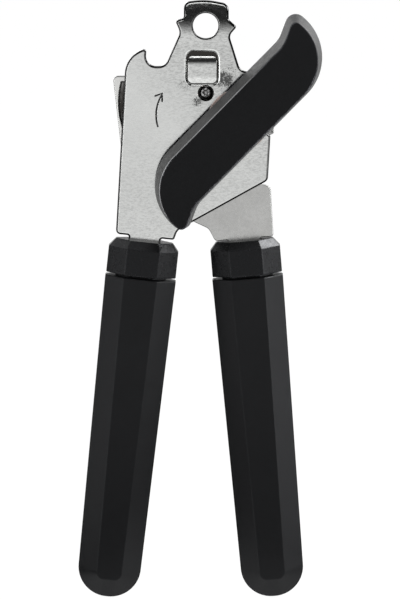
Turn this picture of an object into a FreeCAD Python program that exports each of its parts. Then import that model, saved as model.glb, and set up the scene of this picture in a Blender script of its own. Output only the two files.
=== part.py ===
import FreeCAD, Part
import math
import os
import re
from FreeCAD import Placement, Rotation, Vector

# A hand-held can opener with a bottle opener, in the pose with its handles spread.
# +Z is up, the handles hang down, and the turning key is on the front, towards -Y.
# The origin is the centre of the hang hole, at the middle of the front plate's thickness.
# Places are written (x, z) in the plane of the plates, and depths are along Y.
# Lengths are in millimetres and angles in degrees.

SIZES = {
    # sheet of the two pressed plates
    "plate_thick": 1.8,
    "plate_gap": 0.4,
    "front_edge_radius": 0.9,
    "front_rim_radius": 0.6,
    "rear_edge_radius": 0.35,
    # clearances
    "running_gap": 0.05,
    "fit_gap": 0.1,
    "slot_gap": 0.27,
    "seat_gap": 0.2,
    # hang lug, which ends the front plate at the top
    "hang_hole_radius": 4.5,
    "lug_left": 7.75,
    "lug_right": 8.2,
    "lug_top": 8.43,
    "lug_crown": 0.91,
    "lug_crown_radius": 24,
    "lug_slant": 0.71,
    "lug_corner_radius": 2.6,
    "lug_side": 6.26,
    "lug_foot_radius": 1.1,
    "barb_left_reach": 10.8,
    "barb_right_reach": 11.1,
    "barb_left_rise": 1.77,
    "barb_left_root": 0.91,
    "barb_right_drop": 0.35,
    "barb_tip_radius": 0.95,
    "waist_left": 9.0,
    "waist_left_drop": 2.42,
    "waist_left_radius": 3.2,
    "waist_right": 8.4,
    "waist_right_drop": 3.53,
    "waist_right_radius": 2.5,
    # bottle-opener notch and hook
    "notch_left": 21.4,
    "notch_right": 14.3,
    "notch_bottom": 14.44,
    "notch_corner_radius": 3.6,
    "hook_tip_height": 7.98,
    "hook_tip_lean": 0.5,
    "hook_tip_radius": 0.95,
    "hook_shoulder_x": 28.3,
    "hook_shoulder_drop": 10.8,
    "hook_outer_radius": 9.4,
    # right side and lower diagonal of the front plate
    "shoulder_x": 12.3,
    "shoulder_drop": 16.06,
    "shoulder_radius": 3.2,
    "shoulder_fall": 0.61,
    "shoulder_end_x": 17.4,
    "shoulder_end_radius": 2.0,
    "step_x": 21.7,
    "step_drop": 38.17,
    "step_radius": 0.95,
    "flank_x": 23.0,
    "flank_drop": 39.28,
    "flank_foot_x": 22.1,
    "flank_foot_drop": 55.24,
    "flank_foot_radius": 2.2,
    "crotch_x": 10.0,
    "crotch_drop": 73.11,
    "crotch_radius": 3.6,
    # window with its lanced tab
    "window_left": 6.9,
    "window_right": 4.5,
    "window_top": 8.85,
    "window_bottom": 20.9,
    "window_top_inset": 0.4,
    "window_top_fall": 0.5,
    "window_corner_radius": 2.4,
    "tab_width": 10.2,
    "tab_offset": -1.2,
    "tab_thick": 0.7,
    "tab_gap": 2.0,
    "tab_root": 0.6,
    "tab_root_rise": 1.3,
    "tab_crest_rise": 1.75,
    "tab_crest_height": 2.4,
    "tab_tip_rise": 0.85,
    "tab_bow": 0.45,
    "tab_corner_radius": 1.6,
    # engraved turning arrow
    "arrow_x": 15.4,
    "arrow_top": 24.34,
    "arrow_length": 11.71,
    "arrow_slant": 1.5,
    "arrow_bow": 1.3,
    "arrow_line": 0.6,
    "arrow_head": 2.7,
    "arrow_barb_drop": 1.0,
    "engraving": 0.25,
    # places of the axes on the front plate
    "key_x": 11.6,
    "key_z": -33.6,
    "pivot_x": 0.5,
    "pivot_z": -43.83,
    "stop_x": 0.1,
    "stop_z": -23.93,
    "cutter_x": -5.7,
    "cutter_z": -34.64,
    "swing_angle": 10.5,
    # handles: each collar's top centre, and the lean of its axis
    "left_x": -21.7,
    "left_z": -76.64,
    "left_lean_angle": 6.1,
    "right_x": 13.8,
    "right_z": -76.64,
    "right_lean_angle": -4.8,
    "neck_width": 20.8,
    "left_neck_rise": 1.2,
    "right_neck_rise": 0.3,
    "neck_right_radius": 0.95,
    "neck_left_radius": 1.6,
    "tang_width": 11.4,
    "tang_root_radius": 0.7,
    "tang_end_radius": 2.5,
    "tang_length": 72.71,
    "handle_length": 128.75,
    "collar_length": 12.32,
    "collar_width": 24.8,
    "collar_top_width": 20.2,
    "collar_bevel": 2.9,
    "groove": 0.9,
    "spigot_inset": 3.4,
    "spigot_length": 8.0,
    "grip_top_width": 25.2,
    "grip_end_width": 22.0,
    "grip_end_bevel": 7.07,
    "grip_end_radius": 10.8,
    "grip_crest_radius": 2.6,
    "handle_depth": 16.0,
    "side_flat": 4.5,
    "facet_inset": 6.6,
    "facet_radius": 0.4,
    # rear plate
    "rear_left_x": 32.9,
    "rear_top_drop": 18.18,
    "rear_left_foot_x": 28.3,
    "rear_left_foot_drop": 59.07,
    "rear_left_foot_radius": 6.0,
    "rear_corner_radius": 1.8,
    "rear_hollow_radius": 3.5,
    "tongue_left": 8.7,
    "tongue_right": 5.6,
    "tongue_top": 7.27,
    "tongue_flare": 3.2,
    "lobe_x": 24.2,
    "lobe_slope": 3.8,
    "lobe_slope_drop": 26.25,
    "lobe_top_drop": 31.3,
    "lobe_foot_drop": 38.57,
    "lobe_foot_radius": 0.7,
    "rear_waist_x": 19.2,
    "rear_waist_top_drop": 41.0,
    "rear_waist_foot_drop": 56.25,
    "rear_shoulder_x": 23.1,
    "rear_shoulder_drop": 57.86,
    "rear_crotch_x": 1.1,
    "rear_crotch_drop": 72.71,
    "pan_left": 30.9,
    "pan_right": 12.0,
    "pan_top": 19.99,
    "pan_bottom": 40.9,
    "pan_depth": 1.2,
    "pan_side_radius": 28.0,
    "pan_lean": 2.2,
    "pan_wall": 0.5,
    "pan_slope": 0.6,
    "pan_corner_radius": 3.0,
    # key, spindle and feed wheel
    "knob_half_width": 10.4,
    "knob_bend": 31.0,
    "knob_tip": 42.2,
    "knob_tip_height": 15.4,
    "knob_end": 44.0,
    "knob_bend_radius": 9.0,
    "knob_tip_radius": 3.7,
    "knob_end_radius": 18.6,
    "knob_thick": 13.9,
    "knob_draft_angle": 6.4,
    "knob_edge_radius": 0.5,
    "knob_angle": 45.5,
    "insert_length": 46.0,
    "insert_width": 8.0,
    "insert_corner_radius": 2.4,
    "insert_thick": 2.5,
    "spindle_radius": 3.0,
    "spindle_collar_radius": 5.4,
    "spindle_square": 4.6,
    "spindle_drive": 3.8,
    "spindle_head_radius": 3.2,
    "spindle_head": 1.2,
    "spindle_screw_radius": 1.9,
    "bush_radius": 4.4,
    "bush_flange_radius": 6.4,
    "bush_flange": 1.2,
    "washer_radius": 10.9,
    "washer_thick": 0.8,
    "knob_standoff": 4.6,
    "feed_radius": 6.1,
    "feed_teeth": 20,
    "feed_tooth_depth": 0.8,
    "feed_notch_share": 0.8,
    "feed_width": 2.3,
    "feed_standoff": 1.5,
    "nut_radius": 3.7,
    "nut_thick": 2.3,
    # cutter and its stud
    "cutter_radius": 10.0,
    "cutter_hub_radius": 5.6,
    "cutter_face_radius": 6.8,
    "cutter_edge": 0.15,
    "cutter_thick": 1.2,
    "cutter_feed_gap": 0.3,
    "stud_radius": 3.0,
    "stud_root_radius": 2.4,
    "stud_flange_radius": 4.6,
    "stud_flange": 0.8,
    "cutter_bush_wall": 1.0,
    "screw_radius": 1.5,
    "screw_head_radius": 4.3,
    "screw_head": 1.9,
    "screw_slot": 1.0,
    "screw_slot_depth": 0.9,
    "screw_slot_angle": 30,
    "spring_washer_radius": 3.8,
    "spring_washer": 0.4,
    # pivot rivet and stop pin
    "rivet_radius": 2.5,
    "rivet_head_radius": 3.3,
    "rivet_head": 0.5,
    "rivet_tail_radius": 4.2,
    "rivet_tail": 1.0,
    "pivot_washer_radius": 6.0,
    "stop_radius": 1.95,
    "stop_roll": 0.7,
    "stop_bore_radius": 0.7,
    "stop_bore": 1.6,
    "stop_recess": 0.25,
    "stop_tail_radius": 2.9,
    "stop_tail": 0.8,
    "dimple": 0.95,
}

# Depths of the layers, from front to back.
FRONT_FACE = "-plate_thick / 2"
BACK_FACE = "plate_thick / 2"
REAR_FRONT = "(plate_thick / 2 + plate_gap)"
REAR_BACK = "(plate_thick * 1.5 + plate_gap)"
FEED_START = f"({REAR_BACK} + feed_standoff)"
BUSH_END = f"({FEED_START} - slot_gap)"
FEED_END = f"({FEED_START} + feed_width)"
FLANGE_FRONT = f"({FRONT_FACE} - bush_flange)"
KNOB_BASE = f"({FRONT_FACE} - knob_standoff)"
STUD_SEAT = f"({REAR_BACK} + stud_flange)"
EDGE_START = f"({FEED_END} + cutter_feed_gap)"
CUTTER_END = f"({EDGE_START} + cutter_thick)"
STUD_END = f"({CUTTER_END} + seat_gap)"
SCREW_SEAT = f"({STUD_END} + spring_washer)"

doc = FreeCAD.newDocument("can_opener")
sheet = doc.addObject("Spreadsheet::Sheet", "Sizes")
for row, (alias, number) in enumerate(SIZES.items(), start=1):
    sheet.set(f"A{row}", alias)
    sheet.set(f"B{row}", str(number))
    sheet.setAlias(f"B{row}", alias)
doc.recompute()

NODES = {}

TOLERANCE = 1e-4


class SheetSizes:
    """Gives a driving size as a number, read from the sheet by its alias."""

    def __getattr__(self, alias):
        return float(sheet.get(alias))


mm = SheetSizes()


def cells(text):
    """Turns an expression of plain aliases into one that reads the sheet."""
    return re.sub(r"\b[a-z]\w+", r"Sizes.\g<0>", text)


def bind(thing, **expressions):
    """Binds properties to the sheet; a double underscore stands for a dot."""
    for name, text in expressions.items():
        thing.setExpression(name.replace("__", "."), cells(text))


def node(thing, name):
    """Registers a finished sub-part under its own name."""
    thing.Label = name
    NODES[name] = thing
    return thing


# Outlines

def rounded_outline(corners):
    """Lines and tangent arcs round the (x, y, radius) corners, in order."""
    arcs = []
    for i, (x, y, radius) in enumerate(corners):
        here = Vector(x, y, 0)
        before = Vector(*corners[i - 1][:2], 0) - here
        after = Vector(*corners[(i + 1) % len(corners)][:2], 0) - here
        half = before.getAngle(after) / 2
        before.normalize()
        after.normalize()
        middle = (before + after).normalize()
        arcs.append((
            here + before * (radius / math.tan(half)),
            here + middle * (radius / math.sin(half) - radius),
            here + after * (radius / math.tan(half)),
        ))
    pieces = []
    for i, (start, middle, end) in enumerate(arcs):
        if (end - start).Length > TOLERANCE:
            pieces.append(Part.Arc(start, middle, end))
        pieces.append(Part.LineSegment(end, arcs[(i + 1) % len(arcs)][0]))
    return pieces


def polygon(points):
    """Straight lines round the (x, y) points."""
    ring = [Vector(x, y, 0) for x, y in points]
    return [Part.LineSegment(a, b) for a, b in zip(ring, ring[1:] + ring[:1])]


def circle(x, y, radius):
    """One full circle."""
    return [Part.Circle(Vector(x, y, 0), Vector(0, 0, 1), radius)]


def arc_slot(centre, through, sweep, half_width):
    """A slot round a centre, from the point it starts at, through sweep degrees."""
    centre = Vector(*centre, 0)
    start = Vector(*through, 0) - centre
    angle = math.atan2(start.y, start.x)
    turn = math.radians(sweep)
    overshoot = math.copysign(half_width / start.Length, turn)

    def at(radius, direction):
        return centre + Vector(math.cos(direction), math.sin(direction), 0) * radius

    outer = start.Length + half_width
    inner = start.Length - half_width
    middle = angle + turn / 2
    last = angle + turn
    return [
        Part.Arc(at(outer, angle), at(outer, middle), at(outer, last)),
        Part.Arc(at(outer, last), at(start.Length, last + overshoot), at(inner, last)),
        Part.Arc(at(inner, last), at(inner, middle), at(inner, angle)),
        Part.Arc(at(inner, angle), at(start.Length, angle - overshoot), at(outer, angle)),
    ]


def handle_point(side, across, down):
    """A place on the plates, from a handle's own axis and its collar's top."""
    lean = math.radians(getattr(mm, side + "_lean_angle"))
    x = getattr(mm, side + "_x") + across * math.cos(lean) - down * math.sin(lean)
    z = getattr(mm, side + "_z") - across * math.sin(lean) - down * math.cos(lean)
    return x, z


# PartDesign steps

def new_body(name):
    return doc.addObject("PartDesign::Body", name)


def new_sketch(body, plane, pieces, offset="0"):
    """A sketch on one of the body's origin planes, raised by an expression."""
    sketch = body.newObject("Sketcher::SketchObject", body.Name + "_sketch")
    planes = {item.Role: item for item in body.Origin.OriginFeatures}
    sketch.AttachmentSupport = (planes[plane], "")
    sketch.MapMode = "FlatFace"
    bind(sketch, AttachmentOffset__Base__z=offset)
    sketch.addGeometry(pieces, False)
    return sketch


def pad(body, sketch, length, symmetric=False, reverse=False):
    feature = body.newObject("PartDesign::Pad", body.Name + "_pad")
    feature.Profile = sketch
    feature.Midplane = symmetric
    feature.Reversed = reverse
    bind(feature, Length=length)
    doc.recompute()
    return feature


def pocket(body, sketch, depth=None, reverse=False):
    """Cuts a sketch to a depth, or right through; it must remove something."""
    before = body.Shape.Volume
    feature = body.newObject("PartDesign::Pocket", body.Name + "_pocket")
    feature.Profile = sketch
    feature.Reversed = reverse
    if depth is None:
        feature.Type = "ThroughAll"
        feature.Midplane = True
    else:
        bind(feature, Length=depth)
    doc.recompute()
    if not body.Shape.Volume < before:
        raise ValueError(f"{feature.Name} cuts nothing")
    return feature


def loft(body, first, last):
    feature = body.newObject("PartDesign::AdditiveLoft", body.Name + "_loft")
    feature.Profile = first
    feature.Sections = [last]
    feature.Ruled = True
    doc.recompute()
    return feature


def edges_at(shape, height):
    """Names of the edges that lie flat at a height of the body's own Z."""
    names = []
    for i, edge in enumerate(shape.Edges, start=1):
        box = edge.BoundBox
        if abs(box.ZMin - height) < TOLERANCE and abs(box.ZMax - height) < TOLERANCE:
            names.append(f"Edge{i}")
    return names


def near(shape, name, place, reach):
    """Whether an edge's middle lies within reach of an (x, y) place."""
    middle = shape.getElement(name).CenterOfMass
    return math.hypot(middle.x - place[0], middle.y - place[1]) < reach


def sharp_edges(shape, least=10):
    """Names of the edges where two faces meet at an angle of at least so many degrees."""
    names = []
    for i, edge in enumerate(shape.Edges, start=1):
        point = edge.valueAt((edge.FirstParameter + edge.LastParameter) / 2)
        normals = []
        for face in shape.ancestorsOfType(edge, Part.Face):
            normals.append(face.normalAt(*face.Surface.parameter(point)))
        if len(normals) == 2 and normals[0].getAngle(normals[1]) > math.radians(least):
            names.append(f"Edge{i}")
    return names


def dress(body, kind, edges, **sizes):
    """A Fillet or Chamfer of the named edges of the body's last feature."""
    last = body.Tip
    feature = body.newObject("PartDesign::" + kind, body.Name + "_" + kind.lower())
    feature.Base = (last, edges)
    bind(feature, **sizes)
    doc.recompute()
    return feature


def stand_flat(body, name, depth, x="0", z="0", lean=0, spin=0):
    """Stands a body that was drawn flat upright: its own +Z faces the front."""
    upright = Rotation(Vector(0, 1, 0), lean) * Rotation(Vector(1, 0, 0), 90)
    body.Placement = Placement(Vector(), upright * Rotation(Vector(0, 0, 1), spin))
    bind(body, Placement__Base__x=x, Placement__Base__y=depth, Placement__Base__z=z)
    return node(body, name)


# Turned pieces: sections along the depth, made of primitives

def section(start, end, radius, end_radius=None):
    """A cylinder, or a cone, between two depths."""
    if end_radius is None:
        piece = doc.addObject("Part::Cylinder", "Section")
        bind(piece, Radius=radius)
    else:
        piece = doc.addObject("Part::Cone", "Section")
        bind(piece, Radius1=radius, Radius2=end_radius)
    bind(piece, Height=f"({end}) - ({start})", Placement__Base__z=start)
    return piece


def joined(pieces):
    if len(pieces) == 1:
        return pieces[0]
    whole = doc.addObject("Part::MultiFuse", "Joined")
    whole.Shapes = pieces
    whole.Refine = True
    return whole


def cut(base, tools):
    result = doc.addObject("Part::Cut", "Cut")
    result.Base = base
    result.Tool = joined(tools)
    return result


def turned(name, axis, pieces, bores=(), spin=0):
    """A piece made along its own +Z, laid to run backwards along one of the axes."""
    thing = joined(pieces)
    if bores:
        thing = cut(thing, list(bores))
    backwards = Rotation(Vector(1, 0, 0), -90) * Rotation(Vector(0, 0, 1), spin)
    thing.Placement = Placement(Vector(), backwards)
    bind(thing, Placement__Base__x=axis + "_x", Placement__Base__z=axis + "_z")
    return node(thing, name)


def bar(width, depth, start, end):
    """A rectangular bar about the axis of a turned piece."""
    piece = doc.addObject("Part::Box", "Bar")
    bind(piece, Length=width, Width=depth, Height=f"({end}) - ({start})")
    bind(piece, Placement__Base__x=f"-({width}) / 2", Placement__Base__y=f"-({depth}) / 2")
    bind(piece, Placement__Base__z=start)
    return piece


def hexagon(start, end, radius):
    """A six-sided bar about the axis of a turned piece."""
    piece = doc.addObject("Part::Prism", "Hexagon")
    piece.Polygon = 6
    bind(piece, Circumradius=radius, Height=f"({end}) - ({start})", Placement__Base__z=start)
    return piece


# Plates

def tang_corners(side, neck_rise):
    """The lower end of a plate: two shoulders and the tang, from right to left."""
    neck = mm.neck_width / 2
    tang = mm.tang_width / 2
    deep = mm.tang_length
    places = [
        (neck, -neck_rise, mm.neck_right_radius),
        (tang, -neck_rise, mm.tang_root_radius),
        (tang, deep, mm.tang_end_radius),
        (-tang, deep, mm.tang_end_radius),
        (-tang, -neck_rise, mm.tang_root_radius),
        (-neck, -neck_rise, mm.neck_left_radius),
    ]
    return [(*handle_point(side, across, down), radius) for across, down, radius in places]


def front_plate_outline():
    """Clockwise from the lug's top left corner."""
    lug = [
        (-mm.lug_left, mm.lug_top, mm.lug_corner_radius),
        (0, mm.lug_top + mm.lug_crown, mm.lug_crown_radius),
        (mm.lug_right, mm.lug_top - mm.lug_slant, mm.lug_corner_radius),
        (mm.lug_right, mm.lug_top - mm.lug_side, mm.lug_foot_radius),
        (mm.barb_right_reach, -mm.barb_right_drop, mm.barb_tip_radius),
        (mm.waist_right, -mm.waist_right_drop, mm.waist_right_radius),
    ]
    right_side = [
        (mm.shoulder_x, -mm.shoulder_drop, mm.shoulder_radius),
        (mm.shoulder_end_x, -mm.shoulder_drop - mm.shoulder_fall, mm.shoulder_end_radius),
        (mm.step_x, -mm.step_drop, mm.step_radius),
        (mm.flank_x, -mm.flank_drop, mm.step_radius),
        (mm.flank_foot_x, -mm.flank_foot_drop, mm.flank_foot_radius),
        (-mm.crotch_x, -mm.crotch_drop, mm.crotch_radius),
    ]
    hook = [
        (-mm.hook_shoulder_x, -mm.hook_shoulder_drop, mm.hook_outer_radius),
        (mm.hook_tip_lean - mm.notch_left, -mm.hook_tip_height, mm.hook_tip_radius),
        (-mm.notch_left, -mm.notch_bottom, mm.notch_corner_radius),
        (-mm.notch_right, -mm.notch_bottom, mm.notch_corner_radius),
        (-mm.waist_left, -mm.waist_left_drop, mm.waist_left_radius),
        (-mm.barb_left_reach, mm.barb_left_rise, mm.barb_tip_radius),
        (-mm.lug_left, mm.barb_left_rise + mm.barb_left_root, mm.lug_foot_radius),
    ]
    return rounded_outline(lug + right_side + tang_corners("left", mm.left_neck_rise) + hook)


def window_outline():
    corner = mm.window_corner_radius
    return rounded_outline([
        (mm.window_top_inset - mm.window_left, -mm.window_top, corner),
        (mm.window_right, -mm.window_top - mm.window_top_fall, corner),
        (mm.window_right, -mm.window_bottom, corner),
        (-mm.window_left, -mm.window_bottom, corner),
    ])


def add_tab(body):
    """The tab in the window: rooted at the bottom, bulging to the front, its top edge free."""
    root = -mm.window_bottom - mm.tab_root
    crest = -mm.window_bottom + mm.tab_crest_height
    tip = -mm.window_top - mm.tab_gap
    thick = mm.tab_thick
    middle = (crest + tip) / 2
    bow = (mm.tab_crest_rise + mm.tab_tip_rise) / 2 + mm.tab_bow

    def side(back):
        ends = [
            (root, mm.tab_root_rise - back),
            (crest, mm.tab_crest_rise - back),
            (tip, mm.tab_tip_rise - back),
        ]
        root_end, crest_end, tip_end = [Vector(*end, 0) for end in ends]
        return [
            Part.LineSegment(root_end, crest_end),
            Part.Arc(crest_end, Vector(middle, bow - back, 0), tip_end),
        ]

    front = side(0)
    back = side(thick)
    ends = [
        Part.LineSegment(front[-1].EndPoint, back[-1].EndPoint),
        Part.LineSegment(front[0].StartPoint, back[0].StartPoint),
    ]
    profile = new_sketch(body, "YZ_Plane", front + back + ends, "tab_offset")
    pad(body, profile, "tab_width", symmetric=True)
    corners = [f"Edge{i}" for i, edge in enumerate(body.Shape.Edges, start=1)
               if is_tab_corner(edge, tip)]
    dress(body, "Fillet", corners, Radius="tab_corner_radius")


def is_tab_corner(edge, tip):
    """Whether an edge runs through the sheet at one of the tab's two free corners."""
    box = edge.BoundBox
    through = box.ZLength > mm.tab_thick / 2 and box.XLength < TOLERANCE
    return through and box.YLength < TOLERANCE and abs(box.YMin - tip) < TOLERANCE


def add_arrow(body):
    """The engraved arrow: a bowed line with a two-sided head at its top end."""
    half = mm.arrow_line / 2
    tip = Vector(-mm.arrow_x, -mm.arrow_top, 0)
    tail = tip - Vector(mm.arrow_slant, mm.arrow_length, 0)
    middle = (tip + tail) / 2 - Vector(mm.arrow_bow, 0, 0)
    side = Vector(half, 0, 0)
    line = [
        Part.Arc(tail - side, middle - side, tip - side),
        Part.LineSegment(tip - side, tip + side),
        Part.Arc(tip + side, middle + side, tail + side),
        Part.LineSegment(tail + side, tail - side),
    ]
    left = tip - Vector(mm.arrow_head, mm.arrow_barb_drop, 0)
    right = tip - Vector(0, mm.arrow_head, 0)
    thick = mm.arrow_line
    head = polygon([
        (left.x, left.y), (left.x, left.y + thick), (tip.x + half, tip.y + thick),
        (right.x + half, right.y), (right.x - half, right.y), (tip.x - half, tip.y),
    ])
    for pieces in (line, head):
        pocket(body, new_sketch(body, "XY_Plane", pieces, "plate_thick"), "engraving")


def make_front_plate():
    body = new_body("front_plate")
    pad(body, new_sketch(body, "XY_Plane", front_plate_outline()), "plate_thick")
    dress(body, "Fillet", edges_at(body.Shape, mm.plate_thick), Radius="front_edge_radius")
    pocket(body, new_sketch(body, "XY_Plane", circle(0, 0, mm.hang_hole_radius)))
    pocket(body, new_sketch(body, "XY_Plane", window_outline()))
    rims = [name for name in edges_at(body.Shape, mm.plate_thick)
            if near(body.Shape, name, (0, -mm.window_top), mm.window_bottom - mm.window_top)]
    dress(body, "Fillet", rims, Radius="front_rim_radius")
    add_tab(body)
    stop = (mm.stop_x, mm.stop_z)
    pocket(body, new_sketch(body, "XY_Plane", circle(*stop, mm.stop_radius)))
    rim = [name for name in edges_at(body.Shape, mm.plate_thick)
           if near(body.Shape, name, stop, mm.stop_radius)]
    dress(body, "Chamfer", rim, Size="dimple")
    holes = [
        (mm.key_x, mm.key_z, mm.bush_radius),
        (mm.pivot_x, mm.pivot_z, mm.rivet_radius),
    ]
    for hole in holes:
        pocket(body, new_sketch(body, "XY_Plane", circle(*hole)))
    add_arrow(body)
    stand_flat(body, "front_plate", BACK_FACE)


def rear_plate_outline():
    """Clockwise from the top left corner."""
    corner = mm.rear_corner_radius
    hollow = mm.rear_hollow_radius
    top = [
        (-mm.rear_left_x, -mm.rear_top_drop, corner),
        (-mm.tongue_left - mm.tongue_flare, -mm.rear_top_drop, hollow),
        (-mm.tongue_left, -mm.tongue_top, corner),
        (mm.tongue_right, -mm.tongue_top, corner),
        (mm.tongue_right + mm.tongue_flare, -mm.rear_top_drop, hollow),
        (mm.lobe_x - mm.lobe_slope, -mm.lobe_slope_drop, hollow),
        (mm.lobe_x, -mm.lobe_top_drop, corner),
        (mm.lobe_x, -mm.lobe_foot_drop, mm.lobe_foot_radius),
        (mm.rear_waist_x, -mm.rear_waist_top_drop, corner),
        (mm.rear_waist_x, -mm.rear_waist_foot_drop, corner),
        (mm.rear_shoulder_x, -mm.rear_shoulder_drop, corner),
    ]
    left_side = [
        (mm.rear_crotch_x, -mm.rear_crotch_drop, hollow),
        (-mm.rear_left_foot_x, -mm.rear_left_foot_drop, mm.rear_left_foot_radius),
    ]
    return rounded_outline(top + tang_corners("right", mm.right_neck_rise) + left_side)


def pan_outline(inset):
    """The stiffening pan: its left side is a long flat arc."""
    left = -mm.pan_left + inset
    right = -mm.pan_right - inset
    top = -mm.pan_top - inset
    bottom = -mm.pan_bottom + inset
    lean = mm.pan_lean
    middle = (top + bottom) / 2
    half = (top - bottom) / 2
    bulge = mm.pan_side_radius - math.sqrt(mm.pan_side_radius ** 2 - half ** 2)
    corner = mm.pan_corner_radius
    high = left + bulge - lean / 2
    low = left + bulge + lean / 2
    rest = rounded_outline([
        (high, top, 0), (right, top, corner), (right, bottom, corner), (low, bottom, 0),
    ])
    side = Part.Arc(Vector(low, bottom, 0), Vector(left, middle, 0), Vector(high, top, 0))
    return rest[:-1] + [side]


def outer_rim(shape, height):
    """Names of the edges round the outside of the largest face at a height."""
    level = [face for face in shape.Faces
             if abs(face.BoundBox.ZMin - height) < TOLERANCE
             and abs(face.BoundBox.ZMax - height) < TOLERANCE]
    rim = max(level, key=lambda face: face.Area).OuterWire.Edges
    return [f"Edge{i}" for i, edge in enumerate(shape.Edges, start=1)
            if any(edge.isSame(other) for other in rim)]


def make_rear_plate():
    body = new_body("rear_plate")
    pad(body, new_sketch(body, "XY_Plane", rear_plate_outline()), "plate_thick")
    pad(body, new_sketch(body, "XY_Plane", pan_outline(0)), "pan_depth", reverse=True)
    hollow = new_sketch(body, "XY_Plane", pan_outline(mm.pan_wall), "plate_thick")
    pocket(body, hollow, "pan_depth")
    outside = outer_rim(body.Shape, mm.plate_thick)
    pan_rim = [name for name in edges_at(body.Shape, mm.plate_thick) if name not in outside]
    dress(body, "Chamfer", pan_rim, Size="pan_slope")
    dress(body, "Chamfer", edges_at(body.Shape, -mm.pan_depth), Size="pan_slope")
    pivot = (mm.pivot_x, mm.pivot_z)
    slots = [
        ((mm.key_x, mm.key_z), mm.bush_radius),
        ((mm.stop_x, mm.stop_z), mm.stop_radius),
    ]
    for start, radius in slots:
        slot = arc_slot(pivot, start, mm.swing_angle, radius + mm.slot_gap)
        pocket(body, new_sketch(body, "XY_Plane", slot))
    holes = [
        (*pivot, mm.rivet_radius + mm.running_gap),
        (mm.cutter_x, mm.cutter_z, mm.stud_root_radius),
    ]
    for hole in holes:
        pocket(body, new_sketch(body, "XY_Plane", circle(*hole)))
    dress(body, "Fillet", outer_rim(body.Shape, mm.plate_thick), Radius="rear_edge_radius")
    stand_flat(body, "rear_plate", REAR_BACK)


# Handles

def octagon(inset):
    """The handles' section, wider than deep, with each side moved in by an inset."""
    width = mm.collar_width / 2 - inset
    depth = mm.handle_depth / 2 - inset
    corner = inset * math.tan(math.radians(22.5))
    flat = mm.side_flat / 2 - corner
    facet = mm.collar_width / 2 - mm.facet_inset - corner
    return polygon([
        (-facet, depth), (facet, depth), (width, flat), (width, -flat),
        (facet, -depth), (-facet, -depth), (-width, -flat), (-width, flat),
    ])


def tang_hole():
    """The outline of the slot for a plate's tang."""
    across = mm.tang_width / 2 + mm.fit_gap
    deep = mm.plate_thick / 2 + mm.fit_gap
    return polygon([(-across, deep), (across, deep), (across, -deep), (-across, -deep)])


def make_collar(side, depth):
    """Bevelled at the top, with a spigot at the bottom that plugs into the grip."""
    body = new_body(side + "_collar")
    ring = new_sketch(body, "XY_Plane", octagon(0), "-collar_length")
    pad(body, ring, "collar_length - collar_bevel")
    bevel_foot = new_sketch(body, "XY_Plane", octagon(0), "-collar_bevel")
    bevel = (mm.collar_width - mm.collar_top_width) / 2
    loft(body, bevel_foot, new_sketch(body, "XY_Plane", octagon(bevel)))
    dress(body, "Fillet", sharp_edges(body.Shape), Radius="facet_radius")
    spigot = new_sketch(body, "XY_Plane", octagon(mm.spigot_inset), "-collar_length")
    pad(body, spigot, "spigot_length", reverse=True)
    pocket(body, new_sketch(body, "XY_Plane", tang_hole()))
    lean = getattr(mm, side + "_lean_angle")
    body.Placement = Placement(Vector(), Rotation(Vector(0, 1, 0), lean))
    bind(body, Placement__Base__x=side + "_x", Placement__Base__z=side + "_z")
    bind(body, Placement__Base__y=depth)
    node(body, side + "_collar")


def grip_outline(inset, end_inset, corner):
    """The grip seen from the front: a long taper with two rounded corners at the end."""
    top = -mm.collar_length - mm.groove
    end = -mm.handle_length + end_inset
    top_half = mm.grip_top_width / 2 - inset
    end_half = mm.grip_end_width / 2 - inset
    return rounded_outline([
        (-top_half, top, 0), (top_half, top, 0), (end_half, end, corner), (-end_half, end, corner),
    ])


def make_grip(side, depth):
    """A slab with a bevelled half on each face, and a socket and slot in its top."""
    body = new_body(side + "_grip")
    outer = (0, 0, mm.grip_end_radius)
    slab = new_sketch(body, "XY_Plane", grip_outline(*outer))
    pad(body, slab, "side_flat", symmetric=True)
    crest_outline = grip_outline(mm.facet_inset, mm.grip_end_bevel, mm.grip_crest_radius)
    for face in ("", "-"):
        foot = new_sketch(body, "XY_Plane", grip_outline(*outer), face + "side_flat / 2")
        crest = new_sketch(body, "XY_Plane", crest_outline, face + "handle_depth / 2")
        loft(body, foot, crest)
    dress(body, "Fillet", sharp_edges(body.Shape), Radius="facet_radius")
    top = "collar_length + groove"
    socket = new_sketch(body, "XZ_Plane", octagon(mm.spigot_inset - mm.fit_gap), top)
    pocket(body, socket, "spigot_length - groove + seat_gap", reverse=True)
    slot = new_sketch(body, "XZ_Plane", tang_hole(), top)
    pocket(body, slot, "tang_length - collar_length - groove + seat_gap", reverse=True)
    lean = getattr(mm, side + "_lean_angle")
    stand_flat(body, side + "_grip", depth, side + "_x", side + "_z", lean)


# Key and feed wheel

def knob_outline():
    """An S-shaped bar along X, the same after half a turn."""
    half = [
        (mm.knob_bend, mm.knob_half_width, mm.knob_bend_radius),
        (mm.knob_tip, mm.knob_tip_height, mm.knob_tip_radius),
        (mm.knob_end, -mm.knob_half_width, mm.knob_end_radius),
    ]
    return rounded_outline(half + [(-x, -y, radius) for x, y, radius in half])


def insert_outline(gap):
    """The insert's bar with rounded corners, grown by a gap all round."""
    x = mm.insert_length / 2 + gap
    y = mm.insert_width / 2 + gap
    corner = mm.insert_corner_radius + gap
    return rounded_outline([(-x, y, corner), (x, y, corner), (x, -y, corner), (-x, -y, corner)])


def square(side):
    half = side / 2
    return polygon([(-half, half), (half, half), (half, -half), (-half, -half)])


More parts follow.
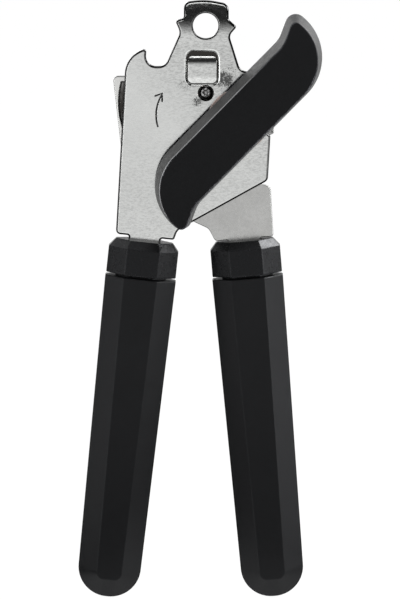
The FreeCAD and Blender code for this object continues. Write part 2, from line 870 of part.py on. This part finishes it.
def make_knob():
    body = new_body("key_knob")
    bar_pad = pad(body, new_sketch(body, "XY_Plane", knob_outline()), "knob_thick")
    bind(bar_pad, TaperAngle="-knob_draft_angle")
    doc.recompute()
    dress(body, "Fillet", edges_at(body.Shape, mm.knob_thick), Radius="knob_edge_radius")
    recess = new_sketch(body, "XY_Plane", insert_outline(mm.fit_gap))
    pocket(body, recess, "insert_thick + fit_gap", reverse=True)
    head = circle(0, 0, mm.spindle_head_radius + mm.seat_gap)
    depth = "insert_thick + spindle_head + seat_gap"
    pocket(body, new_sketch(body, "XY_Plane", head), depth, reverse=True)
    stand_flat(body, "key_knob", KNOB_BASE, "key_x", "key_z", spin=mm.knob_angle)


def make_insert():
    body = new_body("key_insert")
    pad(body, new_sketch(body, "XY_Plane", insert_outline(0)), "insert_thick")
    pocket(body, new_sketch(body, "XY_Plane", square(mm.spindle_square + mm.fit_gap)))
    stand_flat(body, "key_insert", KNOB_BASE, "key_x", "key_z", spin=mm.knob_angle)


def make_shaft():
    insert_front = f"({KNOB_BASE} - insert_thick)"
    collar_end = f"({FLANGE_FRONT} - seat_gap)"
    pieces = [
        section(f"{insert_front} - spindle_head", insert_front, "spindle_head_radius"),
        bar("spindle_square", "spindle_square", insert_front, KNOB_BASE),
        section(KNOB_BASE, collar_end, "spindle_collar_radius"),
        section(collar_end, FEED_START, "spindle_radius"),
        bar("spindle_drive", "spindle_drive", FEED_START, FEED_END),
        section(FEED_END, f"{FEED_END} + nut_thick + fit_gap", "spindle_screw_radius"),
    ]
    turned("key_shaft", "key", pieces, spin=-mm.knob_angle)


def make_feed_wheel():
    body = new_body("feed_wheel")
    rim = mm.feed_radius
    pad(body, new_sketch(body, "XY_Plane", circle(0, 0, rim)), "feed_width")
    pocket(body, new_sketch(body, "XY_Plane", square(mm.spindle_drive + mm.fit_gap)))
    pitch = 2 * math.pi * rim / mm.feed_teeth
    root = rim - mm.feed_tooth_depth
    beyond = rim + mm.feed_tooth_depth
    half = mm.feed_notch_share * pitch
    notch = new_sketch(body, "XY_Plane", polygon([(beyond, half), (root, 0), (beyond, -half)]))
    tooth_gap = pocket(body, notch)
    pattern = body.newObject("PartDesign::PolarPattern", "feed_teeth_pattern")
    pattern.Originals = [tooth_gap]
    pattern.Axis = (notch, ["N_Axis"])
    pattern.Angle = 360
    bind(pattern, Occurrences="feed_teeth")
    body.Tip = pattern
    stand_flat(body, "feed_wheel", FEED_END, "key_x", "key_z", spin=mm.knob_angle)


def make_key_pieces():
    make_knob()
    make_insert()
    make_shaft()
    make_feed_wheel()
    nut = hexagon(FEED_END, f"{FEED_END} + nut_thick", "nut_radius")
    thread = section(FEED_END, f"{FEED_END} + nut_thick", "spindle_screw_radius + running_gap")
    turned("feed_wheel_nut", "key", [nut], [thread])
    bush = [
        section(FLANGE_FRONT, FRONT_FACE, "bush_flange_radius"),
        section(FRONT_FACE, BUSH_END, "bush_radius"),
    ]
    bore = section(FLANGE_FRONT, BUSH_END, "spindle_radius + running_gap")
    turned("shaft_bush", "key", bush, [bore])
    washer_front = f"({FRONT_FACE} - washer_thick)"
    washer = section(washer_front, FRONT_FACE, "washer_radius")
    hole = section(washer_front, FRONT_FACE, "bush_flange_radius + fit_gap")
    turned("thrust_washer", "key", [washer], [hole])


# Cutter

def make_cutter_pieces():
    hub_start = f"({STUD_SEAT} + seat_gap)"
    stud = [
        section(REAR_FRONT, REAR_BACK, "stud_root_radius"),
        section(REAR_BACK, STUD_SEAT, "stud_flange_radius"),
        section(STUD_SEAT, STUD_END, "stud_radius"),
    ]
    thread = section(STUD_SEAT, STUD_END, "screw_radius + running_gap")
    turned("cutter_stud", "cutter", stud, [thread])

    outer = "stud_radius + running_gap + cutter_bush_wall"
    bush = section(hub_start, CUTTER_END, outer)
    bore = section(hub_start, CUTTER_END, "stud_radius + running_gap")
    turned("cutter_bush", "cutter", [bush], [bore])

    edge_end = f"({EDGE_START} + cutter_edge)"
    blade = [
        section(hub_start, EDGE_START, "cutter_hub_radius"),
        section(EDGE_START, edge_end, "cutter_radius"),
        section(edge_end, CUTTER_END, "cutter_radius", "cutter_face_radius"),
    ]
    turned("cutter_wheel", "cutter", blade, [section(hub_start, CUTTER_END, outer)])

    washer = section(STUD_END, SCREW_SEAT, "spring_washer_radius")
    hole = section(STUD_END, SCREW_SEAT, "screw_radius + fit_gap")
    turned("cutter_spring_washer", "cutter", [washer], [hole])

    head_end = f"({SCREW_SEAT} + screw_head)"
    screw = [
        section(f"{STUD_SEAT} + seat_gap", SCREW_SEAT, "screw_radius"),
        section(SCREW_SEAT, head_end, "screw_head_radius"),
    ]
    slot = bar("3 * screw_head_radius", "screw_slot", f"{head_end} - screw_slot_depth", head_end)
    turned("cutter_screw", "cutter", screw, [slot], spin=mm.screw_slot_angle)


# Pivot rivet and stop pin

def make_pins():
    tail_seat = f"({REAR_BACK} + fit_gap)"
    rivet = [
        section(f"{FRONT_FACE} - rivet_head", FRONT_FACE, "rivet_head_radius"),
        section(FRONT_FACE, tail_seat, "rivet_radius"),
        section(tail_seat, f"{tail_seat} + rivet_tail", "rivet_tail_radius"),
    ]
    turned("pivot_rivet", "pivot", rivet)
    washer_end = f"({REAR_FRONT} - fit_gap)"
    washer = section(BACK_FACE, washer_end, "pivot_washer_radius")
    hole = section(BACK_FACE, washer_end, "rivet_radius + fit_gap")
    turned("pivot_washer", "pivot", [washer], [hole])

    roll = doc.addObject("Part::Torus", "Roll")
    roll_centre = f"({FRONT_FACE} + stop_recess + stop_roll)"
    bind(roll, Radius1="stop_radius - stop_roll", Radius2="stop_roll")
    bind(roll, Placement__Base__z=roll_centre)
    pin = [
        roll,
        section(roll_centre, tail_seat, "stop_radius"),
        section(tail_seat, f"{tail_seat} + stop_tail", "stop_tail_radius"),
    ]
    bore_end = f"({FRONT_FACE} + stop_recess + stop_bore)"
    turned("stop_pin", "stop", pin, [section(FRONT_FACE, bore_end, "stop_bore_radius")])


def check_and_write():
    """Every object must be sound, and every sub-part a valid solid, before any is written."""
    doc.recompute()
    for thing in doc.Objects:
        if "Invalid" in thing.State or "Error" in thing.State:
            raise ValueError(f"{thing.Name} failed: {thing.State}")
    for name, thing in NODES.items():
        if thing.Shape.isNull() or not thing.Shape.isValid() or not thing.Shape.Solids:
            raise ValueError(f"{name} has no valid solid")
    os.makedirs("parts", exist_ok=True)
    for name, thing in NODES.items():
        thing.Shape.exportStep(f"parts/{name}.step")
        box = thing.Shape.BoundBox
        print(f"{name}: {len(thing.Shape.Solids)} solid, {thing.Shape.Volume:.1f} mm3,"
              f" x {box.XMin:.1f}..{box.XMax:.1f}, y {box.YMin:.1f}..{box.YMax:.1f},"
              f" z {box.ZMin:.1f}..{box.ZMax:.1f}")


make_front_plate()
make_rear_plate()
for handle_side, handle_middle in (("left", "0"), ("right", "plate_thick + plate_gap")):
    make_collar(handle_side, handle_middle)
    make_grip(handle_side, handle_middle)
make_key_pieces()
make_cutter_pieces()
make_pins()
check_and_write()
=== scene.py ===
import math

import bpy
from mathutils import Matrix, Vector


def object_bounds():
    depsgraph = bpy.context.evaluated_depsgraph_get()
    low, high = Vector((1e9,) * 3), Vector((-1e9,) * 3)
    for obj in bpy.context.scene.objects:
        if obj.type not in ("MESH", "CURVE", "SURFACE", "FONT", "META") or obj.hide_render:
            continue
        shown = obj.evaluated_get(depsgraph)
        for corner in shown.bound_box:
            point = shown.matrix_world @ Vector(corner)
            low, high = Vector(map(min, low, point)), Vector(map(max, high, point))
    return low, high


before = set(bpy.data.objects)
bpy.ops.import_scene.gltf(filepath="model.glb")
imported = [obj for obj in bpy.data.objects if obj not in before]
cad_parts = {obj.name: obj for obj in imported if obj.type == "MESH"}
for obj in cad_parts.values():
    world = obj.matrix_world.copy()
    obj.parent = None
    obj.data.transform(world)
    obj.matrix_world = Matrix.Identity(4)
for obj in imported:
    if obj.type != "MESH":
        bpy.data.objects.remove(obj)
cad_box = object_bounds()

# Looks for the can opener. Its shapes are the CAD nodes: each is given a surface here, and the
# floor, the lamps and the camera are put round them.
# Lengths are in metres. +Z is up, and the front, with the key, faces -Y.

# Left, right, bottom and top of the engraved arrow and of the rear plate's stiffening pan, and
# the depths between which their floors begin.
ARROW = (-0.0200, -0.0145, -0.0375, -0.0230)
ARROW_FLOOR = (-0.00088, -0.00080)
PAN = (-0.0330, -0.0110, -0.0420, -0.0185)
PAN_FLOOR = (0.0014, 0.0019)

# Centre, half width, half height and corner radius of the front plate's window, then its rim's
# width and slope, and the height below which a dark line is painted round the tab's edge as the
# shade in its bend.
WINDOW = (-0.0012, -0.0150, 0.0057, 0.0059, 0.0024)
RIM_WIDTH = 0.0008
RIM_SLOPE = 0.17
SHADE_LINE_TOP = -0.0188

# Where the lug and the window's tab begin to curve back, and how fast they do.
LUG_CURVE = (-0.0075, 16.0)
TAB_CURVE = (-0.0136, 46.0)

# Dark speckled patches painted on the front plate as painted reflections, beside the window, the
# pin and the key and on the lug: centre x and z, half width, half height, and strength.
DARK_REFLECTIONS = (
    (0.0062, -0.0190, 0.0052, 0.0042, 0.36),
    (0.0078, -0.0170, 0.0046, 0.0046, 0.15),
    (-0.0075, -0.0212, 0.0034, 0.0026, 0.16),
    (-0.0029, -0.0270, 0.0027, 0.0024, 0.28),
    (0.0000, 0.0025, 0.0100, 0.0085, 0.15),
)
# The rear plate's painted shade behind the window and at its right corner, without a strength.
WINDOW_SHADE = (-0.0016, -0.0146, 0.0082, 0.0090)
CORNER = (0.0237, -0.0366, 0.0024, 0.0026)

# Radii over which sharp edges are softened.
PLATE_ROUNDING = 0.00025
MOULDING_ROUNDING = 0.0004

# Grey level of the front plate's dark paint: its painted reflections in patches and along the
# outline, the painted shade line in the tab's bend, and the engraved arrow's floor.
DARK_GREY = 0.04


class Nodes:
    """Adds shader nodes to a tree and links them."""

    def __init__(self, tree):
        self.tree = tree

    def put(self, socket, value):
        """Links or sets a socket."""
        if isinstance(value, bpy.types.NodeSocket):
            self.tree.links.new(value, socket)
        else:
            socket.default_value = value

    def add(self, kind, settings=None, **inputs):
        node = self.tree.nodes.new(kind)
        for name, value in (settings or {}).items():
            setattr(node, name, value)
        for socket, value in inputs.items():
            self.put(node.inputs[socket.replace("_", " ")], value)
        return node

    def math(self, operation, *values):
        node = self.add("ShaderNodeMath", {"operation": operation})
        for socket, value in zip(node.inputs, values):
            self.put(socket, value)
        return node.outputs[0]

    def times(self, first, second):
        return self.math("MULTIPLY", first, second)

    def parts(self, vector):
        """The x, y and z of a vector."""
        return self.add("ShaderNodeSeparateXYZ", Vector=vector).outputs

    def spread(self, value, low, high, to_low=0.0, to_high=1.0):
        """Maps a value smoothly from one range to another, held at both ends."""
        settings = {"interpolation_type": "SMOOTHSTEP"}
        node = self.add("ShaderNodeMapRange", settings, Value=value, From_Min=low, From_Max=high,
                        To_Min=to_low, To_Max=to_high)
        return node.outputs["Result"]


class Surface(Nodes):
    """A node material built up from small steps round one Principled shader."""

    def __init__(self, name, metallic, **inputs):
        self.material = bpy.data.materials.new(name)
        self.material.use_nodes = True
        super().__init__(self.material.node_tree)
        self.shader = self.tree.nodes["Principled BSDF"]
        self.shader.inputs["Metallic"].default_value = metallic
        for socket, value in inputs.items():
            self.shader.inputs[socket.replace("_", " ")].default_value = value
        coordinates = self.add("ShaderNodeTexCoord").outputs
        self.place = coordinates["Object"]
        self.x, self.y, self.z = self.parts(self.place)
        # Which way the face looks; facing_y is the same for the front and the back.
        self.facing_x, facing_y, self.facing_z = self.parts(coordinates["Normal"])
        self.facing_y = self.math("ABSOLUTE", facing_y)
        self.in_front = self.math("LESS_THAN", facing_y, 0.0)

    def noise(self, scale, detail, rough, stretch=None):
        """Noise from 0 to 1, with about this many lumps to a metre."""
        place = self.place
        if stretch:
            place = self.add("ShaderNodeMapping", Vector=place, Scale=stretch).outputs[0]
        node = self.add("ShaderNodeTexNoise", Vector=place, Scale=scale, Detail=detail,
                        Roughness=rough)
        return node.outputs["Fac"]

    def blend(self, amount, first, second):
        """Mixes two colours."""
        node = self.add("ShaderNodeMix", {"data_type": "RGBA"})
        self.put(node.inputs[0], amount)
        self.put(node.inputs[6], first)
        self.put(node.inputs[7], second)
        return node.outputs[2]

    def rounded(self, radius):
        """Softens the sharp edges over a small radius."""
        return self.add("ShaderNodeBevel", {"samples": 4}, Radius=radius).outputs[0]

    def bump(self, height, distance, normal=None):
        """Raises the surface by up to distance metres where height is 1."""
        node = self.add("ShaderNodeBump", Strength=1.0, Distance=distance, Height=height)
        if normal:
            self.put(node.inputs["Normal"], normal)
        return node.outputs[0]

    def curved_back(self, foot, speed, where):
        """Height of a face that leans back more and more above its foot."""
        rise = self.times(self.math("MAXIMUM", self.math("ADD", self.z, -foot), 0.0), where)
        return self.times(self.times(rise, rise), -speed)

    def patch(self, x, z, width, height, soft):
        """1 inside an upright oval at (x, z), fading to 0 at its edge."""
        across = self.math("DIVIDE", self.math("SUBTRACT", self.x, x), width)
        up = self.math("DIVIDE", self.math("SUBTRACT", self.z, z), height)
        squares = self.math("ADD", self.times(across, across), self.times(up, up))
        return self.spread(squares, 1.0, soft)

    def outside_of(self, x, z, width, height, corner):
        """Distance out from an upright oblong at (x, z) with rounded corners."""
        gaps = []
        for place, middle, half in ((self.x, x, width), (self.z, z, height)):
            away = self.math("ABSOLUTE", self.math("SUBTRACT", place, middle))
            gaps.append(self.math("SUBTRACT", away, half - corner))
        outer = [self.math("POWER", self.math("MAXIMUM", gap, 0.0), 2.0) for gap in gaps]
        outer = self.math("SQRT", self.math("ADD", *outer))
        inner = self.math("MINIMUM", self.math("MAXIMUM", *gaps), 0.0)
        return self.math("SUBTRACT", self.math("ADD", outer, inner), corner)

    def box_of(self, left, right, bottom, top):
        """1 between two upright and two level lines, seen from the front."""
        across = self.times(self.math("GREATER_THAN", self.x, left),
                            self.math("LESS_THAN", self.x, right))
        up = self.times(self.math("GREATER_THAN", self.z, bottom),
                        self.math("LESS_THAN", self.z, top))
        return self.times(across, up)

    def finish(self, colour, roughness, normal):
        self.put(self.shader.inputs["Base Color"], colour)
        self.put(self.shader.inputs["Roughness"], roughness)
        self.put(self.shader.inputs["Normal"], normal)
        return self.material


def grey(level, tint=(1.0, 1.0, 1.0)):
    return tuple(level * part for part in tint) + (1.0,)


def bright_plate():
    """Bright plating: soft waves, an engraved arrow with a dark floor, painted dark reflections
    in speckled patches and on the rolled edges, and a painted shade line in the tab's bend.
    """
    s = Surface("bright_plate", metallic=1.0)
    from_window = s.outside_of(*WINDOW)

    normal = s.bump(s.curved_back(*LUG_CURVE, s.in_front), 1.0, s.rounded(PLATE_ROUNDING))
    rolled = s.math("MINIMUM", s.math("MAXIMUM", from_window, 0.0), RIM_WIDTH)
    normal = s.bump(s.times(rolled, RIM_SLOPE), 1.0, normal)
    on_tab = s.math("LESS_THAN", from_window, -0.0006)
    normal = s.bump(s.curved_back(*TAB_CURVE, on_tab), 1.0, normal)
    normal = s.bump(s.noise(55, 2, 0.4, (0.5, 1.0, 1.5)), 0.00008, normal)
    normal = s.bump(s.noise(1500, 3, 0.65, (0.4, 1.0, 1.0)), 0.000006, normal)
    normal = s.bump(s.noise(3000, 3, 0.6), 0.000006, normal)

    # A painted dark reflection is specks that thin out from the middle of its patch.
    dark_reflection = 0.0
    for *place, strength in DARK_REFLECTIONS:
        dark_reflection = s.math("MAXIMUM", dark_reflection, s.times(s.patch(*place, 0.0), strength))
    ragged = s.times(dark_reflection, s.spread(s.noise(420, 2, 0.5), 0.35, 0.60, 0.75, 1.2))
    specks = s.spread(s.math("ADD", s.noise(2300, 2, 0.6), ragged), 0.60, 0.86, 0.0, 0.90)
    in_dark_reflection = s.times(s.math("GREATER_THAN", dark_reflection, 0.001),
                      s.math("GREATER_THAN", from_window, 0.0007))
    dark_reflection = s.times(s.times(specks, in_dark_reflection), s.in_front)

    # The outline is the rolled edge painted dark as a painted reflection, wider where it faces
    # right and weaker on the cut sides.
    cut = s.times(s.spread(s.y, *ARROW_FLOOR), s.box_of(*ARROW))
    wider = s.times(s.spread(s.facing_x, 0.02, 0.08), 0.035)
    edge = s.times(s.spread(s.math("SUBTRACT", s.facing_y, wider), 0.975, 0.915),
                   s.math("GREATER_THAN", from_window, RIM_WIDTH))
    edge = s.times(edge, s.spread(s.facing_y, 0.10, 0.30, 0.4, 1.0))
    # A dark line painted round the tab's edge low in the window: painted shade in its bend.
    from_shade_line = s.math("ABSOLUTE", s.math("ADD", from_window, 0.0003))
    shade_line = s.times(s.spread(from_shade_line, 0.00030, 0.00012),
                     s.math("LESS_THAN", s.z, SHADE_LINE_TOP))
    dark = s.math("MAXIMUM", cut, s.math("MAXIMUM", edge, shade_line))

    # Darker and more streaked towards the upper right and the foot.
    tint = (1.0, 1.012, 0.995)
    cloud = s.spread(s.noise(60, 5, 0.65, (0.5, 1.0, 1.8)), 0.3, 0.7)
    darker_area = s.math("MAXIMUM", s.spread(s.math("ADD", s.x, s.z), -0.065, -0.010),
                    s.spread(s.z, -0.036, -0.058, 0.2, 0.55))
    streak = s.spread(s.noise(1900, 3, 0.7, (0.45, 1.0, 1.0)), 0.62, 0.30)
    colour = s.blend(cloud, grey(0.86, tint), grey(0.91, tint))
    colour = s.blend(s.times(darker_area, 0.35), colour, grey(0.70, tint))
    colour = s.blend(s.times(streak, s.times(darker_area, 0.95)), colour, grey(0.54, tint))
    # Painted reflections in patches, then the painted outline, the painted shade line and the
    # arrow's dark floor.
    colour = s.blend(dark_reflection, colour, grey(DARK_GREY))
    colour = s.blend(dark, colour, grey(DARK_GREY))
    roughness = s.spread(s.noise(900, 4, 0.7, (0.4, 1.0, 1.0)), 0.3, 0.8, 0.09, 0.17)
    return s.finish(colour, roughness, normal)


def satin_plate():
    """Matte plating with a fine grain, lighter at the left as a painted reflection, with painted
    shade in the pan, behind the window and at the right corner.
    """
    s = Surface("satin_plate", metallic=1.0)
    tint = (1.0, 1.0, 0.98)
    cloud = s.spread(s.noise(90, 5, 0.65), 0.3, 0.7)
    grain = s.spread(s.noise(1100, 4, 0.7), 0.30, 0.70)
    # Lighter at the left: a painted reflection.
    lightened = s.spread(s.x, -0.026, -0.030)
    colour = s.blend(cloud, grey(0.54, tint), grey(0.61, tint))
    colour = s.blend(s.times(grain, 0.5), colour, grey(0.46, tint))
    colour = s.blend(lightened, colour, grey(0.84, tint))

    # Painted shade: the pan's floor and a patch behind the window are painted dark where the
    # front plate shades the rear one.
    in_pan = s.times(s.spread(s.y, *PAN_FLOOR), s.box_of(*PAN))
    pan_shade = s.times(in_pan, s.spread(s.noise(300, 4, 0.6, (1, 1, 0.3)), 0.2, 0.6, 0.5, 1))
    painted_shade = s.times(s.math("MAXIMUM", s.patch(*WINDOW_SHADE, 0.6), pan_shade), s.in_front)
    colour = s.blend(painted_shade, colour, grey(0.05, (1.0, 0.93, 0.86)))
    # Painted shade at the rear plate's right corner, in specks.
    corner = s.times(s.patch(*CORNER, 0.4),
                     s.spread(s.noise(1200, 3, 0.6), 0.35, 0.60, 0.3, 0.9))
    colour = s.blend(s.times(corner, s.in_front), colour, grey(0.06, tint))
    edge = s.spread(s.facing_y, 0.95, 0.86)
    colour = s.blend(edge, colour, grey(0.30, tint))

    normal = s.bump(s.noise(900, 3, 0.6), 0.000010, s.rounded(PLATE_ROUNDING))
    normal = s.bump(s.noise(3200, 3, 0.7), 0.000008, normal)
    roughness = s.spread(s.noise(500, 4, 0.6), 0.2, 0.8, 0.20, 0.32)
    roughness = s.math("ADD", roughness, s.times(edge, 0.25))
    return s.finish(colour, roughness, normal)


def turned_steel(name, level, roughness, tint=(1.0, 1.0, 0.99)):
    """Turned and plated steel with fine marks from the tool."""
    s = Surface(name, metallic=1.0)
    cloud = s.spread(s.noise(240, 4, 0.6), 0.3, 0.7)
    colour = s.blend(cloud, grey(level * 0.85, tint), grey(level, tint))
    lines = s.noise(1500, 2, 0.5, (0.2, 1.0, 0.2))
    uneven = s.spread(s.noise(800, 3, 0.6), 0.3, 0.7, *roughness)
    return s.finish(colour, uneven, s.bump(lines, 0.000012))


def black_moulding(name, level, roughness, grain, shine, wear_and_highlight, side_sheen=None):
    """Black moulding with a fine spark-eroded grain, faint clouds and edges painted lighter,
    partly as wear and partly as painted highlights.

    level is the grey of the faces. The grey after shine is of the lighter edges, and the last
    grey, where given, is of the sides, painted lighter as a painted sheen, which then have a
    painted highlight line along the upper left edge too."""
    s = Surface(name, metallic=0.0, Specular_IOR_Level=shine,
                Specular_Tint=(0.94, 0.96, 1.0, 1.0))
    tint = (0.97, 0.98, 1.08)
    cloud = s.spread(s.noise(45, 4, 0.6), 0.3, 0.7)
    fleck = s.spread(s.noise(2600, 2, 0.6), 0.62, 0.75)
    colour = s.blend(cloud, grey(level * 0.85, tint), grey(level * 1.1, tint))
    colour = s.blend(s.times(fleck, 0.5), colour, grey(level * 3.0, tint))
    if side_sheen:
        # The sides are painted lighter as a painted sheen, with a painted highlight line along
        # their upper left edge.
        colour = s.blend(s.spread(s.facing_y, 0.85, 0.50), colour, grey(side_sheen))
        highlight_line = s.times(s.spread(s.facing_y, 0.96, 0.86), s.spread(s.facing_y, 0.48, 0.64))
        up_and_left = s.spread(s.math("SUBTRACT", s.facing_z, s.facing_x), 0.1, 0.3)
        upper_left = s.times(up_and_left, s.spread(s.z, -0.010, -0.024))
        colour = s.blend(s.times(highlight_line, upper_left), colour, grey(wear_and_highlight))

    # An edge is where the softened normal and the true one differ.
    rounded = s.rounded(MOULDING_ROUNDING)
    square = s.add("ShaderNodeNewGeometry").outputs["Normal"]
    turn = s.add("ShaderNodeVectorMath", {"operation": "DOT_PRODUCT"})
    s.put(turn.inputs[0], rounded)
    s.put(turn.inputs[1], square)
    # Edges painted lighter: partly wear, partly painted highlights.
    lightened = s.times(s.spread(turn.outputs["Value"], 0.995, 0.94),
                     s.spread(s.noise(300, 3, 0.6), 0.35, 0.55, 0.4, 1.0))
    colour = s.blend(lightened, colour, grey(wear_and_highlight, tint))
    normal = s.bump(s.noise(3000, 3, 0.7), grain, rounded)
    uneven = s.spread(s.noise(700, 4, 0.6), 0.3, 0.7, *roughness)
    return s.finish(colour, uneven, normal)


def dark_pin():
    """Black-oxide steel, worn a little lighter in places."""
    s = Surface("dark_pin", metallic=1.0)
    wear = s.spread(s.noise(1300, 3, 0.7), 0.45, 0.62)
    colour = s.blend(wear, grey(0.12), grey(0.60))
    roughness = s.spread(s.noise(900, 3, 0.6), 0.3, 0.7, 0.08, 0.2)
    return s.finish(colour, roughness, s.bump(s.noise(1200, 2, 0.5), 0.00001))


def dress(material, *nodes):
    """Gives CAD nodes a material."""
    for name in nodes:
        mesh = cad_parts[name].data
        mesh.materials.clear()
        mesh.materials.append(material)


class Backdrop(Nodes):
    """The floor's material or the world: a base, with other looks for some kinds of ray."""

    def __init__(self, tree, base, output):
        super().__init__(tree)
        self.last = base
        self.output = output
        self.path = self.add("ShaderNodeLightPath")

    def seen_by(self, ray, kind, strength, share=1.0):
        """Rays of one kind see this much white light, for a share of what they see."""
        light = self.add(kind, Strength=strength)
        mix = self.add("ShaderNodeMixShader")
        self.put(mix.inputs[0], self.times(self.path.outputs[ray], share))
        self.put(mix.inputs[1], self.last)
        self.put(mix.inputs[2], light.outputs[0])
        self.last = mix.outputs[0]
        self.put(self.output, self.last)


def make_floor():
    """A pale floor that renders white and keeps a faint shadow.

    The metal mirrors it as white under the opener and beyond it, with a dark ring between,
    fading a little far away and, in front, to the sides."""
    floor_gap = 0.0006
    bpy.ops.mesh.primitive_plane_add(size=8, location=(0, 0, cad_box[0][2] - floor_gap))
    floor = bpy.context.object
    floor.name = "floor"
    material = bpy.data.materials.new("pale_floor")
    material.use_nodes = True
    tree = material.node_tree
    matte = tree.nodes["Principled BSDF"]
    matte.inputs["Base Color"].default_value = grey(0.86)
    matte.inputs["Roughness"].default_value = 0.9
    output = tree.nodes["Material Output"].inputs["Surface"]
    look = Backdrop(tree, matte.outputs[0], output)

    place = look.add("ShaderNodeTexCoord").outputs["Object"]
    x, y, _ = look.parts(place)
    aside = look.math("ABSOLUTE", x)
    length = look.add("ShaderNodeVectorMath", {"operation": "LENGTH"})
    look.put(length.inputs[0], place)
    distance = length.outputs["Value"]
    under = look.spread(distance, 0.055, 0.085, 1.0, 0.03)
    near = look.spread(distance, 0.15, 0.26, under, 1.0)
    far = look.spread(distance, 0.50, 0.85, near, 0.70)
    in_front = look.spread(aside, 0.16, 0.26, far, 0.86)
    seen = look.spread(y, -0.05, 0.15, in_front, far)
    seen = look.spread(distance, 0.30, 0.60, near, seen)
    look.seen_by("Is Glossy Ray", "ShaderNodeEmission", seen)
    look.seen_by("Is Camera Ray", "ShaderNodeEmission", 1.04, share=0.94)
    floor.data.materials.append(material)


def make_world():
    """White for the camera. The metal sees white near the horizon and dark above it, from
    lower down in front than behind."""
    world = bpy.data.worlds.new("studio")
    bpy.context.scene.world = world
    world.use_nodes = True
    tree = world.node_tree
    fill = tree.nodes["Background"]
    fill.inputs["Color"].default_value = (1, 1, 1, 1)
    fill.inputs["Strength"].default_value = 0.45
    output = tree.nodes["World Output"].inputs["Surface"]
    look = Backdrop(tree, fill.outputs[0], output)

    _, y, z = look.parts(look.add("ShaderNodeTexCoord").outputs["Generated"])
    front = look.spread(z, 0.12, 0.48, 0.94, 0.025)
    behind = look.spread(z, 0.50, 0.75, 0.88, 0.08)
    seen = look.spread(y, -0.1, 0.45, front, behind)
    look.seen_by("Is Glossy Ray", "ShaderNodeBackground", seen)
    look.seen_by("Is Camera Ray", "ShaderNodeBackground", 1.0)


def make_card(name, x):
    """A large dark card at one side that only reflections see."""
    bpy.ops.mesh.primitive_plane_add(size=1, location=(x, -0.10, 0.25),
                                     rotation=(0, math.radians(90), 0))
    card = bpy.context.object
    card.name = name
    card.scale = (0.92, 2.0, 1)
    material = bpy.data.materials.new(name)
    material.use_nodes = True
    tree = material.node_tree
    light = tree.nodes.new("ShaderNodeEmission")
    light.inputs["Strength"].default_value = 0.03
    tree.links.new(light.outputs[0], tree.nodes["Material Output"].inputs["Surface"])
    card.data.materials.append(material)
    for kind in ("camera", "diffuse", "transmission", "shadow"):
        setattr(card, "visible_" + kind, False)


def make_lamp(name, place, target, size, power):
    """A soft rectangular lamp aimed at a point."""
    data = bpy.data.lights.new(name, "AREA")
    data.shape = "RECTANGLE"
    data.size, data.size_y = size
    data.energy = power
    lamp = bpy.data.objects.new(name, data)
    bpy.context.scene.collection.objects.link(lamp)
    lamp.location = place
    aim = Vector(target) - Vector(place)
    lamp.rotation_euler = aim.to_track_quat("-Z", "Y").to_euler()


def make_camera():
    """Looks straight at the front from a little above, through a long lens."""
    middle = Vector((-0.0020, 0.0, -0.0981))
    elevation = math.radians(8.0)
    distance = 3.0
    view_height = 0.2134
    data = bpy.data.cameras.new("camera")
    data.sensor_width = 36.0
    data.lens = data.sensor_width * distance / view_height
    camera = bpy.data.objects.new("camera", data)
    bpy.context.scene.collection.objects.link(camera)
    away = Vector((0, -math.cos(elevation), math.sin(elevation)))
    camera.location = middle + away * distance
    camera.rotation_euler = (-away).to_track_quat("-Z", "Y").to_euler()
    bpy.context.scene.camera = camera


dress(bright_plate(), "front_plate")
dress(satin_plate(), "rear_plate")
dress(black_moulding("grip_moulding", level=0.0030, roughness=(0.34, 0.44), grain=0.000028,
                     shine=0.20, wear_and_highlight=0.012), "left_grip", "right_grip")
dress(black_moulding("collar_moulding", level=0.0030, roughness=(0.25, 0.33), grain=0.000022,
                     shine=0.20, wear_and_highlight=0.040), "left_collar", "right_collar")
dress(black_moulding("key_moulding", level=0.0022, roughness=(0.46, 0.58), grain=0.000055,
                     shine=0.17, wear_and_highlight=0.30, side_sheen=0.050), "key_knob")
dress(turned_steel("plated_steel", level=0.62, roughness=(0.20, 0.34)),
      "key_insert", "key_shaft", "feed_wheel_nut", "cutter_stud", "cutter_spring_washer",
      "cutter_screw", "pivot_rivet", "pivot_washer")
dress(turned_steel("pale_bronze", level=0.75, roughness=(0.28, 0.42), tint=(1.0, 0.80, 0.73)),
      "thrust_washer")
dress(turned_steel("hard_steel", level=0.50, roughness=(0.18, 0.32)),
      "feed_wheel", "cutter_wheel")
dress(turned_steel("bronze", level=0.45, roughness=(0.30, 0.45), tint=(1.0, 0.78, 0.60)),
      "shaft_bush", "cutter_bush")
dress(dark_pin(), "stop_pin")

make_floor()
make_world()
make_card("left_card", -0.62)
make_card("right_card", 0.62)

# Each lamp's name, place, the height on the opener that it is aimed at, size and power.
for name, place, height, size, power in (
        ("top", (0.0, -0.45, 0.85), -0.05, (0.5, 0.4), 1.0),
        ("right", (0.50, 0.13, 0.42), -0.08, (0.30, 0.30), 7),
        ("left", (-0.50, 0.13, 0.42), -0.08, (0.30, 0.30), 0.6),
        ("right_side", (0.56, -0.24, -0.02), -0.1, (0.22, 0.40), 2.6),
        ("left_side", (-0.56, -0.24, -0.02), -0.1, (0.22, 0.40), 1.2),
        ("left_line", (-0.50, -0.62, 0.10), -0.1, (0.14, 0.75), 0.8),
        ("right_line", (0.50, -0.62, 0.10), -0.1, (0.14, 0.75), 0.6),
        ("rim_left", (-0.36, 0.85, 0.12), -0.05, (0.6, 0.24), 0.9),
        ("rim_right", (0.34, 0.85, 0.12), -0.05, (0.5, 0.24), 0.5)):
    make_lamp(name, place, (0, 0, height), size, power)

make_camera()
bpy.context.scene.view_settings.view_transform = "Standard"
